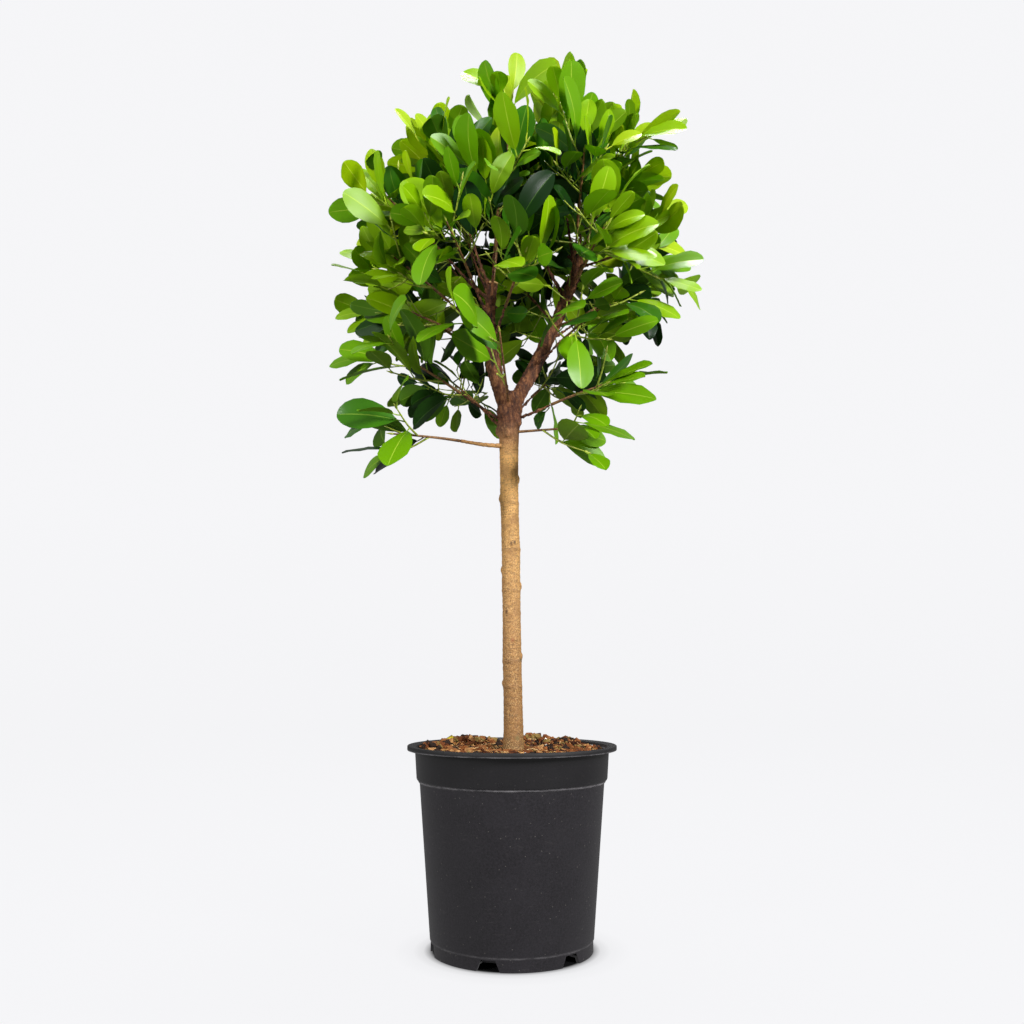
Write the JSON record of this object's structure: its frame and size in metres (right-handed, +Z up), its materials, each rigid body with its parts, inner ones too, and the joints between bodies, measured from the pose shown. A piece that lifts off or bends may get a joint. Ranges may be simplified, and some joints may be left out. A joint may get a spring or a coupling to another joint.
{
  "type": "potted standard fig",
  "caption": "Small-leaved fig grown as a standard: one bare stem under an open, natural round head of glossy oval leaves, in a round black nursery pot of bark soil.",
  "frame": {"origin": "on the floor, under the middle of the pot", "axes": "+Z up along the stem, -Y towards the front of the plant in the picture, +X to its right"},
  "size_m": [0.3525, 0.3393, 0.8605],
  "materials": {
    "pot_plastic": "fine satin, lightly scuffed",
    "bark_soil": "loose bark chips and fibre",
    "stem_bark": "smooth pale bark with fine pores",
    "bough_bark": "rough red-brown bark",
    "foliage": "glossy leaves"
  },
  "bodies": {
    "root": {"pot": "pot_plastic", "soil": "bark_soil", "trunk": "stem_bark", "left_leader": "bough_bark", "right_leader": "bough_bark", "bough_bottom_left_low": "bough_bark", "bough_bottom_back_left": "bough_bark", "bough_bottom_left": "bough_bark", "bough_bottom_right": "bough_bark", "bough_bottom_back": "bough_bark", "bough_lower_left": "bough_bark", "bough_lower_left_back": "bough_bark", "bough_mid_left": "bough_bark", "bough_mid_front": "bough_bark", "bough_upper_left_front": "bough_bark", "bough_mid_left_back": "bough_bark", "bough_upper_front": "bough_bark", "bough_upper_left_far": "bough_bark", "bough_upper_left_back": "bough_bark", "bough_upper_left": "bough_bark", "bough_lower_right_front": "bough_bark", "bough_lower_right_back": "bough_bark", "bough_mid_right_front": "bough_bark", "bough_mid_back": "bough_bark", "bough_top_back": "bough_bark", "bough_upper_right_front": "bough_bark", "bough_mid_right_back": "bough_bark", "bough_top_right": "bough_bark", "bough_mid_right": "bough_bark", "bough_upper_right_back": "bough_bark", "leaves_bottom_left_low": "foliage", "leaves_bottom_back_left": "foliage", "leaves_bottom_left": "foliage", "leaves_bottom_right": "foliage", "leaves_bottom_back": "foliage", "leaves_lower_left": "foliage", "leaves_lower_left_back": "foliage", "leaves_mid_left": "foliage", "leaves_mid_front": "foliage", "leaves_upper_left_front": "foliage", "leaves_mid_left_back": "foliage", "leaves_upper_front": "foliage", "leaves_upper_left_far": "foliage", "leaves_upper_left_back": "foliage", "leaves_upper_left": "foliage", "leaves_lower_right_front": "foliage", "leaves_lower_right_back": "foliage", "leaves_mid_right_front": "foliage", "leaves_mid_back": "foliage", "leaves_top_back": "foliage", "leaves_upper_right_front": "foliage", "leaves_mid_right_back": "foliage", "leaves_top_right": "foliage", "leaves_mid_right": "foliage", "leaves_upper_right_back": "foliage", "leaves_top_left": "foliage", "leaves_upper_right": "foliage", "leaves_lower_right": "foliage", "leaves_lower_front": "foliage", "leaves_bottom_right_low": "foliage"}
  },
  "joints": []
}
